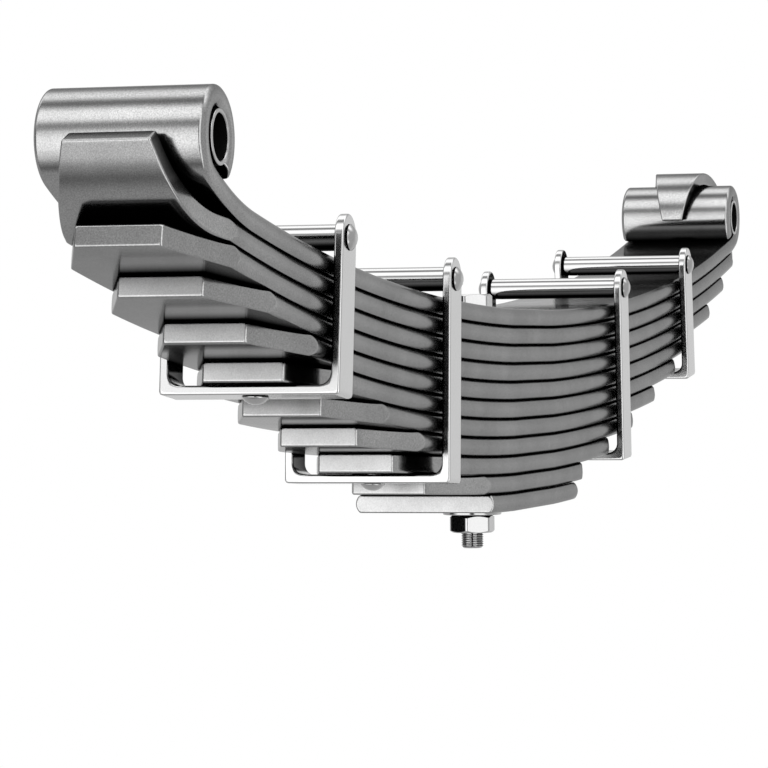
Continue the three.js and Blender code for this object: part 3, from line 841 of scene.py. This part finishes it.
def leaf_rivet(leaf):
    top = -(leaf - 1) * PITCH - 0.05
    under = -(leaf * PITCH) - STRAP_T - GAP
    prof = list(reversed(dome(RIVET_HEAD_R, RIVET_HEAD_H, under, up=False)))
    prof += [(RIVET_R + 0.3, under), (RIVET_R, under + 0.3), (RIVET_R, under + 2), (RIVET_R, top - SINK_H - 1), (RIVET_R, top - SINK_H), (SINK_R, top - 0.05), (SINK_R - 0.1, top), (2.0, top), (0, top)]
    return lathe_data(prof, 48)


def strap_tools(leaf):
    tools = []
    for side in (1, -1):
        y0, y1 = STRAP_IN, STRAP_IN + STRAP_T
        e = 0.25
        v, f = lathe_data([(0, y0 - 3), (PIN_HOLE_R + 3 + e, y0 - 3), (PIN_HOLE_R, y0 + e), (PIN_HOLE_R, y1 - e), (PIN_HOLE_R + 3 + e, y1 + 3), (0, y1 + 3)], 40)
        v = [(x, side * y, z + PIN_HEIGHT) for x, y, z in along_y(v)]
        tools.append((v, f))
    z0 = -leaf * PITCH
    tools.append(lathe_data([(0, z0 + 3), (RIVET_HOLE_R, z0 + 3), (RIVET_HOLE_R, z0 - STRAP_T - 3), (0, z0 - STRAP_T - 3)], 40))
    return tools


for name, u, leaf in CLIPS:
    v, f = strap_data(leaf)
    ob = mesh_object(name + "_strap_folded", placed(v, u), f, 30)
    cut_away(ob, [mesh_object("tool", placed(tv, u), tf) for tv, tf in strap_tools(leaf)], 30)
    dress(ob, name + "_strap", PACK, "clip_zinc", ZINC)
    v, f = clip_pin()
    dress(mesh_object(name + "_pin_turned", placed(v, u), f, 40), name + "_pin", PACK, "bolt_zinc", BOLT)
    v, f = spacer_tube()
    dress(mesh_object(name + "_tube_drawn", placed(v, u), f, 40), name + "_spacer_tube", name + "_tube", "tube_bright", TUBE)
    v, f = leaf_rivet(leaf)
    dress(mesh_object(name + "_rivet_turned", placed(v, u), f, 40), name + "_leaf_rivet", PACK, "bolt_zinc", BOLT)


# ------------------------------------------------------------- studio and floor
def studio():
    world = bpy.data.worlds.new("studio")
    bpy.context.scene.world = world
    world.use_nodes = True
    nt = world.node_tree
    nt.nodes.clear()
    N, L = nt.nodes.new, nt.links.new

    def math_node(op, a, b=None, clamp=False):
        n = N("ShaderNodeMath")
        n.operation, n.use_clamp = op, clamp
        for i, v in enumerate((a, b)):
            if v is None:
                continue
            if isinstance(v, (int, float)):
                n.inputs[i].default_value = v
            else:
                L(v, n.inputs[i])
        return n.outputs[0]

    def ramp(fac, stops, peak=2.0):
        """Brightness by position: stops are (position 0..1, value 0..peak)."""
        r = N("ShaderNodeValToRGB")
        r.color_ramp.interpolation = "EASE"
        el = r.color_ramp.elements
        while len(el) > 1:
            el.remove(el[-1])
        el[0].position, el[0].color = stops[0][0], (stops[0][1] / peak,) * 3 + (1,)
        for pos, v in stops[1:]:
            e = el.new(pos)
            e.color = (v / peak,) * 3 + (1,)
        L(fac, r.inputs[0])
        return math_node("MULTIPLY", r.outputs[0], peak)

    def window(value, c0, c1, w0, w1):
        """1 between c0 and c1, easing to 0 at w0 and w1."""
        out = None
        for f0, f1 in ((w0, c0), (w1, c1)):
            m = N("ShaderNodeMapRange")
            m.interpolation_type = "SMOOTHSTEP"
            m.inputs["From Min"].default_value, m.inputs["From Max"].default_value = min(f0, f1), max(f0, f1)
            m.inputs["To Min"].default_value, m.inputs["To Max"].default_value = (0, 1) if f1 > f0 else (1, 0)
            L(value, m.inputs["Value"])
            out = m.outputs["Result"] if out is None else math_node("MULTIPLY", out, m.outputs["Result"])
        return out

    def blend(a, b, w):
        return math_node("ADD", math_node("MULTIPLY", a, math_node("SUBTRACT", 1.0, w)), math_node("MULTIPLY", b, w))

    tc = N("ShaderNodeTexCoord")
    sep = N("ShaderNodeSeparateXYZ")
    L(tc.outputs["Generated"], sep.inputs[0])
    x, y, z = sep.outputs
    # round the spring's width: 0 ahead of the short end, 90 overhead, 180 behind
    turn = math_node("ADD", math_node("DIVIDE", math_node("ARCTAN2", z, math_node("MULTIPLY", x, -1.0)), 2 * math.pi), 0.5)
    ring = ramp(turn, [((d + 180) / 360, v) for d, v in STRIPS])
    az = math_node("MULTIPLY", math_node("ARCTAN2", y, x), 180 / math.pi)
    # towards both ends of the strips the light evens out
    ends = window(math_node("ABSOLUTE", y), 0.88, 2.0, 0.66, 3.0)
    light = blend(ring, 0.55, ends)
    # the dark slot between the strips where the camera stands
    slot = math_node("MULTIPLY", window(y, -0.34, -0.13, -0.43, -0.05), window(x, -2.0, -0.25, -3.0, -0.05))
    slot = math_node("MULTIPLY", slot, window(z, -0.45, 0.28, -0.75, 0.48))
    light = math_node("MULTIPLY", light, math_node("SUBTRACT", 1.0, math_node("MULTIPLY", slot, 0.97)))
    # the key light, ahead on the right
    key = math_node("MULTIPLY", window(y, -0.86, -0.54, -0.93, -0.45), window(x, -2.0, -0.22, -3.0, -0.08))
    light = blend(light, 1.65, key)
    # a dark flag on the left
    flag = math_node("MULTIPLY", window(az, 99, 113, 93, 120), window(z, -0.22, 0.22, -0.4, 0.4))
    light = math_node("MULTIPLY", light, math_node("SUBTRACT", 1.0, flag))
    lp = N("ShaderNodeLightPath")
    fill = math_node("ADD", math_node("MULTIPLY", lp.outputs["Is Diffuse Ray"], FLOOR_FILL), 1.0)
    total = math_node("ADD", math_node("MULTIPLY", math_node("MULTIPLY", light, fill), math_node("SUBTRACT", 1.0, lp.outputs["Is Camera Ray"])), lp.outputs["Is Camera Ray"])
    bg = N("ShaderNodeBackground")
    comb = N("ShaderNodeCombineXYZ")
    for i in range(3):
        L(total, comb.inputs[i])
    L(comb.outputs[0], bg.inputs["Color"])
    bg.inputs["Strength"].default_value = 1.0
    out = N("ShaderNodeOutputWorld")
    L(bg.outputs[0], out.inputs["Surface"])


# brightness of the studio round the spring's width, by angle
STRIPS = [
    (-180, 0.84), (-157, 0.70), (-120, 0.52), (-80, 0.48), (-63, 0.20), (-54, 0.42), (-42, 1.0), (-31, 1.4),
    (-22, 1.75), (-10, 1.9), (5, 1.78), (11, 1.4), (16.8, 1.3), (20.5, 0.74), (25, 0.5), (31, 0.38), (35, 0.65), (39, 1.2), (44, 1.75), (54, 1.92),
    (63, 1.88), (69, 1.4), (75, 0.7), (81, 0.30), (88, 0.28), (94, 0.65), (101, 1.5), (109, 1.85), (121, 1.65), (135, 0.8), (150, 0.55), (179.9, 0.84),
]
FLOOR_FILL = 0.45  # extra light on the matt floor only
studio()

floor_z = -0.30
bpy.ops.mesh.primitive_grid_add(x_subdivisions=8, y_subdivisions=8, size=60, location=(0, 0, floor_z))
floor = bpy.context.object
floor.name = "floor"
fm = bpy.data.materials.new("pale_floor")
fm.use_nodes = True
fb = fm.node_tree.nodes["Principled BSDF"]
fb.inputs["Base Color"].default_value = (0.93, 0.93, 0.93, 1)
fb.inputs["Roughness"].default_value = 0.9
fb.inputs["Specular IOR Level"].default_value = 0.0
floor.data.materials.append(fm)
floor.visible_glossy = False
floor.visible_camera = False  # white on white; views from below stay open

# ----------------------------------------------------------------------- camera
F_PX, CX, CY, CZ = 3941.234, -2140.824, -558.693, 89.730
YAW, PITCH_A, ROLL = 0.27733, -0.00903, -0.00984
fw = Vector((math.cos(YAW) * math.cos(PITCH_A), math.sin(YAW) * math.cos(PITCH_A), math.sin(PITCH_A)))
rt = Vector((math.sin(YAW), -math.cos(YAW), 0))
up = rt.cross(fw)
c, s = math.cos(ROLL), math.sin(ROLL)
r2, u2 = c * rt + s * up, -s * rt + c * up
cam = bpy.data.cameras.new("camera")
cam_ob = bpy.data.objects.new("camera", cam)
bpy.context.scene.collection.objects.link(cam_ob)
cam.sensor_width = 36.0
cam.lens = F_PX / 768 * 36.0
cam.clip_start, cam.clip_end = 0.05, 100
m = Matrix((r2, u2, -fw)).transposed().to_4x4()
m.translation = Vector((CX, CY, CZ)) * 0.001
cam_ob.matrix_world = m
bpy.context.scene.camera = cam_ob

vs = bpy.context.scene.view_settings
vs.view_transform = "Standard"
vs.look = "None"
vs.exposure, vs.gamma = 0.0, 1.0
